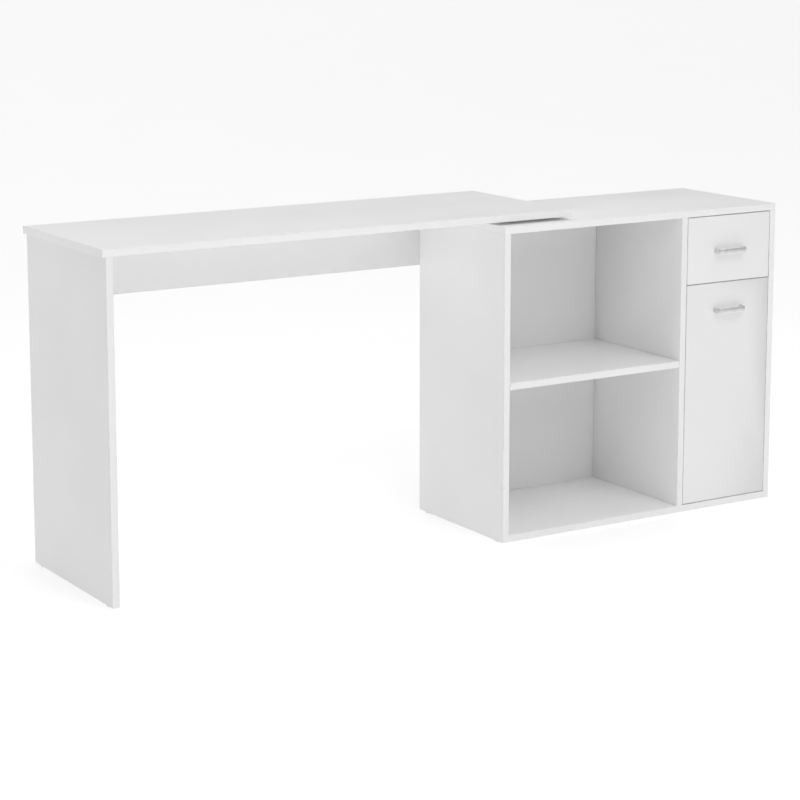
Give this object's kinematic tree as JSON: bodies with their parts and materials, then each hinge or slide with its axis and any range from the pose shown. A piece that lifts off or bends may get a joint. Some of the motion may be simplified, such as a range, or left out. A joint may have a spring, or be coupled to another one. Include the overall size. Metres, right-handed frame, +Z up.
{
  "type": "corner desk",
  "caption": "Corner desk: a desktop on a leg panel swings over a low cabinet with open shelf bays, a drawer and a door.",
  "frame": {"origin": "on the floor, under the middle of the whole object's box with the desktop straight", "axes": "+X along the length towards the cabinet's outer end, -Y out of the front with the drawer and the door, +Z up"},
  "size_m": [1.751, 0.448, 0.75],
  "materials": {
    "white_board": "white melamine, satin",
    "thin_board": "white lacquered hardboard",
    "zinc_steel": "zinc plated",
    "runner_steel": "bright zinc plated",
    "handle_nickel": "satin nickel",
    "white_plastic": "moulded",
    "dowel_wood": "raw beech"
  },
  "bodies": {
    "cabinet": {"cab_side_left": "white_board", "cab_side_right": "white_board", "cab_divider": "white_board", "cab_top": "white_board", "cab_bottom": "white_board", "cab_mid_board": "white_board", "cab_shelf": "white_board", "cab_back": "thin_board", "shelf_pins": "zinc_steel", "cab_dowels": "dowel_wood", "cab_cams": "zinc_steel", "cab_cam_bolts": "zinc_steel", "cab_glides": "white_plastic", "pivot_base_plate": "zinc_steel", "pivot_glide_ring": "white_plastic", "pivot_pin": "zinc_steel", "pivot_base_screws": "zinc_steel", "runner_outer_left": "runner_steel", "runner_outer_right": "runner_steel", "runner_outer_screws": "runner_steel", "hinge_arms": "zinc_steel", "hinge_plates": "zinc_steel", "hinge_plate_screws": "zinc_steel", "magnetic_catch": "white_plastic", "catch_screws": "zinc_steel"},
    "desk": {"desktop": "white_board", "leg_panel": "white_board", "apron": "white_board", "desk_dowels": "dowel_wood", "desk_cams": "zinc_steel", "desk_cam_bolts": "zinc_steel", "leg_glides": "white_plastic", "pivot_top_plate": "zinc_steel", "pivot_top_screws": "zinc_steel"},
    "drawer": {"drawer_front": "white_board", "drawer_side_left": "white_board", "drawer_side_right": "white_board", "drawer_back": "white_board", "drawer_bottom": "thin_board", "drawer_dowels": "dowel_wood", "drawer_handle": "handle_nickel", "drawer_handle_screws": "zinc_steel", "runner_inner_left": "runner_steel", "runner_inner_right": "runner_steel", "runner_inner_screws": "runner_steel"},
    "ball_strips": {"runner_ball_strips": "runner_steel", "runner_balls": "runner_steel"},
    "door_leaf": {"door": "white_board", "door_handle": "handle_nickel", "door_handle_screws": "zinc_steel", "hinge_cups": "zinc_steel", "hinge_pins": "zinc_steel", "hinge_cup_screws": "zinc_steel", "catch_strike": "zinc_steel"}
  },
  "joints": [
    {"name": "desk_swing", "type": "hinge", "parent": "cabinet", "child": "desk", "pos_m": [0.189, 0.0215, 0.73], "axis": [0, 0, 1], "range_deg": [0, 90]},
    {"name": "drawer_slide", "type": "slide", "parent": "cabinet", "child": "drawer", "axis": [0, -1, 0], "range_m": [0, 0.23]},
    {"name": "ball_strip_slide", "type": "slide", "parent": "cabinet", "child": "ball_strips", "axis": [0, -1, 0], "range_m": [0, 0.115]},
    {"name": "door_hinge", "type": "hinge", "parent": "cabinet", "child": "door_leaf", "pos_m": [0.8435, -0.1955, 0.2845], "axis": [0, 0, 1], "range_deg": [0, 95]}
  ],
  "couplings": [
    {"joint": "ball_strip_slide", "follows": "drawer_slide", "ratio": 0.5}
  ]
}
